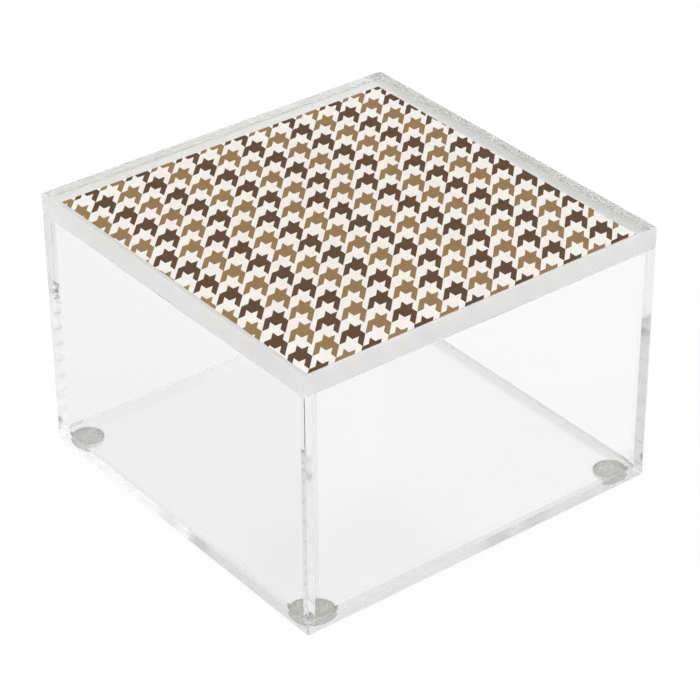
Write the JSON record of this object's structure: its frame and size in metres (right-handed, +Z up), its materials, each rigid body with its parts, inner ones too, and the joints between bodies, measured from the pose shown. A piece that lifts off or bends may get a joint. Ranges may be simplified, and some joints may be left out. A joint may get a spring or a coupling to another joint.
{
  "type": "storage box with lid",
  "caption": "Square clear acrylic storage box of cemented sheet with polished edges, round stick-on feet and a lift-off lid of one thick clear sheet with a printed card under it.",
  "frame": {"origin": "under the middle of the box, on the surface that its feet stand on", "axes": "+X to the right and +Y to the rear as seen from the front, +Z up"},
  "size_m": [0.155, 0.155, 0.1072],
  "materials": {
    "clear_acrylic": "clear, polished",
    "foot_rubber": "soft translucent grey, satin",
    "foot_adhesive": "pressure-sensitive adhesive, mottled where it has wetted out",
    "printed_card": "satin print of a brown and tan houndstooth check on off-white, white back"
  },
  "bodies": {
    "box": {"base_panel": "clear_acrylic", "left_wall": "clear_acrylic", "right_wall": "clear_acrylic", "front_wall": "clear_acrylic", "rear_wall": "clear_acrylic", "foot_front_left": "foot_rubber", "foot_front_right": "foot_rubber", "foot_rear_left": "foot_rubber", "foot_rear_right": "foot_rubber", "foot_tape_front_left": "foot_adhesive", "foot_tape_front_right": "foot_adhesive", "foot_tape_rear_left": "foot_adhesive", "foot_tape_rear_right": "foot_adhesive"},
    "lid": {"lid_panel": "clear_acrylic", "lid_print": "printed_card", "lid_locating_plate": "clear_acrylic"}
  },
  "joints": [
    {"name": "lid_lift", "type": "slide", "parent": "box", "child": "lid", "axis": [0, 0, 1], "range_m": [0, 0.16]}
  ]
}
